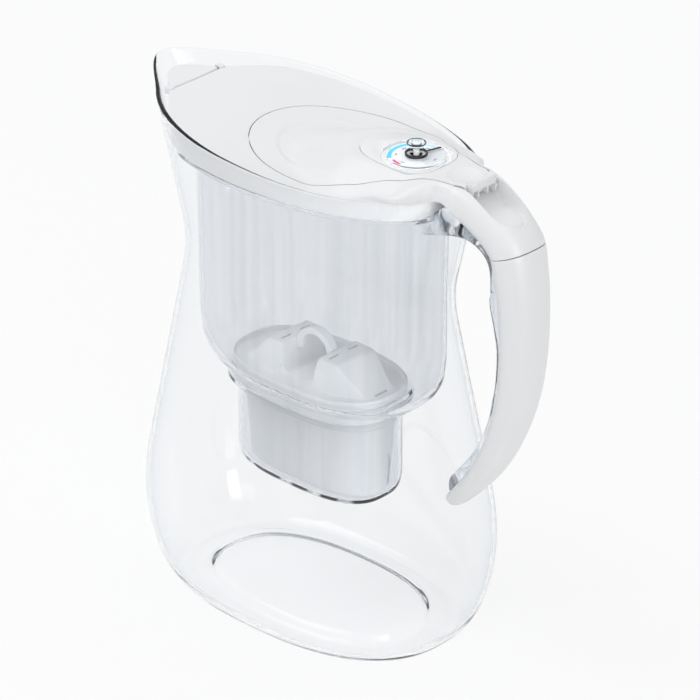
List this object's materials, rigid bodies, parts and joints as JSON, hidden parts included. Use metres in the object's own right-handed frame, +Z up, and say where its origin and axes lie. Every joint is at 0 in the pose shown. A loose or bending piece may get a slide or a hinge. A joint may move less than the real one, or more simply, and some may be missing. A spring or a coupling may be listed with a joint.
{
  "type": "water filter pitcher",
  "caption": "Clear waisted water filter pitcher with lift-out funnel and cartridge, flip hatch in the lid, spout flap, change dial and clipped-on handle.",
  "frame": {"origin": "under the middle of the whole pitcher, on the surface it stands on", "axes": "+X towards the handle, -X towards the spout, +Z up"},
  "size_m": [0.2739, 0.145, 0.2997],
  "materials": {
    "clear_body": "clear glossy moulded plastic",
    "clear_funnel": "clear, slightly smoky moulded plastic",
    "white_shell": "white satin plastic",
    "white_cap": "white satin plastic",
    "grey_cup": "light grey satin plastic",
    "fleece": "white non-woven fleece",
    "granulate": "loose grains of carbon and resin",
    "dial_print": "white disc printed with a blue and a red arc",
    "clear_dial": "clear glossy plastic",
    "black_trim": "black gloss plastic"
  },
  "bodies": {
    "jug_body": {"jug_base": "clear_body", "jug": "clear_body", "jug_collar": "clear_body", "jug_rim": "clear_body", "handle_core": "clear_body", "handle_cover": "white_shell"},
    "funnel_body": {"funnel": "clear_funnel", "funnel_pocket": "clear_funnel"},
    "cartridge_body": {"cartridge_cup": "grey_cup", "cartridge_cap": "white_cap", "top_fleece": "fleece", "granulate": "granulate", "bottom_strainer": "fleece"},
    "lid_body": {"lid": "white_shell"},
    "hatch_body": {"hatch": "white_shell", "dial_tray": "white_shell", "dial_face": "dial_print", "dial_bezel": "clear_dial"},
    "dial_body": {"dial_disc": "clear_dial", "dial_pointer": "black_trim", "dial_hub": "black_trim", "dial_knob": "clear_dial", "knob_ring": "black_trim"},
    "flap_body": {"spout_flap": "white_shell"}
  },
  "joints": [
    {"name": "funnel_lift", "type": "slide", "parent": "jug_body", "child": "funnel_body", "axis": [0, 0, 1], "range_m": [0, 0.22]},
    {"name": "cartridge_lift", "type": "slide", "parent": "funnel_body", "child": "cartridge_body", "axis": [0, 0, 1], "range_m": [0, 0.068]},
    {"name": "lid_lift", "type": "slide", "parent": "funnel_body", "child": "lid_body", "axis": [0, 0, 1], "range_m": [0, 0.06]},
    {"name": "hatch_hinge", "type": "hinge", "parent": "lid_body", "child": "hatch_body", "pos_m": [0.09575, 0, 0.286], "axis": [0, 1, 0], "range_deg": [0, 75]},
    {"name": "flap_hinge", "type": "hinge", "parent": "lid_body", "child": "flap_body", "pos_m": [-0.11235, 0, 0.28436], "axis": [0, 1, 0], "range_deg": [0, 50]},
    {"name": "dial_turn", "type": "hinge", "parent": "hatch_body", "child": "dial_body", "pos_m": [0.05025, 0, 0.293], "axis": [0, 0, 1], "continuous": true}
  ]
}
